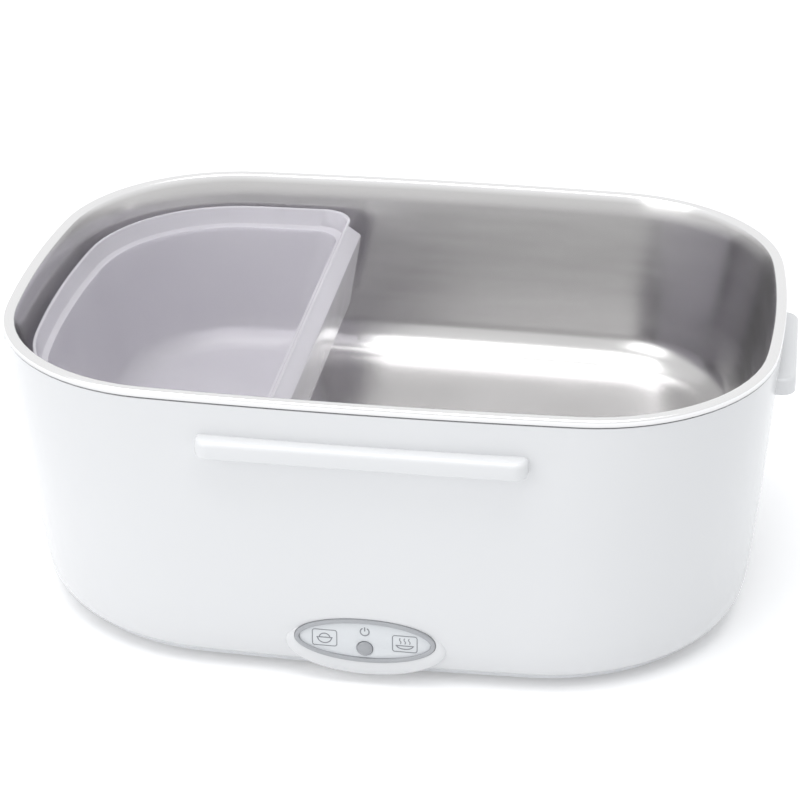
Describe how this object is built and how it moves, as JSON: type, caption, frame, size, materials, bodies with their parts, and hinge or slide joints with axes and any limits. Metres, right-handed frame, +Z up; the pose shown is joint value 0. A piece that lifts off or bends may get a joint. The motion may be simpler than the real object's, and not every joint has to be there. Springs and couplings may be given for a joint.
{
  "type": "electric lunch box",
  "caption": "Open electric lunch box: white heated housing with catch ledges, lift-out steel container and divider tray, oval front panel and rear power inlet.",
  "frame": {"origin": "middle of the base, on the table plane that the feet stand on", "axes": "+X to the right seen from the front (the long way), +Y to the back, +Z up; the front panel is on -Y and the power inlet on +Y"},
  "size_m": [0.2326, 0.1706, 0.091],
  "materials": {
    "white_shell": "satin",
    "white_liner": "matte",
    "plate_aluminium": "satin",
    "red_silicone": "matte",
    "heater_tube": "matte",
    "zinc_steel": "satin",
    "phenolic": "matte",
    "ceramic_sleeve": "matte",
    "shield_steel": "bright",
    "fibre_felt": "matte",
    "white_base": "fine grain",
    "grey_rubber": "matte",
    "black_inlet": "matte",
    "nickel_brass": "polished",
    "crimp_sleeve": "satin",
    "board_green": "satin",
    "led_epoxy": "clear",
    "resistor_body": "satin",
    "grey_lens": "gloss",
    "grey_ring": "satin",
    "pale_plate": "satin",
    "brown_wire": "satin",
    "blue_wire": "satin",
    "glass_fibre_wire": "matte",
    "red_wire": "satin",
    "stainless_steel": "polished inside, satin rim",
    "milky_tray": "translucent"
  },
  "bodies": {
    "housing": {"outer_shell": "white_shell", "inner_liner": "white_liner", "heating_plate": "plate_aluminium", "plate_seal": "red_silicone", "ceramic_heaters": "heater_tube", "heater_clips": "zinc_steel", "heater_clip_screws": "zinc_steel", "thermostat": "phenolic", "thermal_fuse": "ceramic_sleeve", "sensor_clips": "zinc_steel", "sensor_clip_screws": "zinc_steel", "heat_shield": "shield_steel", "insulation_pad": "fibre_felt", "shield_screws": "zinc_steel", "base_cover": "white_base", "base_screws": "zinc_steel", "rubber_feet": "grey_rubber", "power_inlet": "black_inlet", "inlet_pins": "nickel_brass", "inlet_screws": "zinc_steel", "crimp_terminals": "crimp_sleeve", "indicator_board": "board_green", "board_screws": "zinc_steel", "indicator_led": "led_epoxy", "board_resistor": "resistor_body", "indicator_lens": "grey_lens", "panel_ring": "grey_ring", "panel_plate": "pale_plate", "live_wire": "brown_wire", "neutral_wire": "blue_wire", "heater_bridge_wire": "glass_fibre_wire", "indicator_wires": "red_wire"},
    "container": {"steel_container": "stainless_steel"},
    "tray": {"divider_tray": "milky_tray"}
  },
  "joints": [
    {"name": "container_lift", "type": "slide", "parent": "housing", "child": "container", "axis": [0, 0, 1], "range_m": [0, 0.06]},
    {"name": "tray_lift", "type": "slide", "parent": "container", "child": "tray", "axis": [0, 0, 1], "range_m": [0, 0.06]}
  ]
}
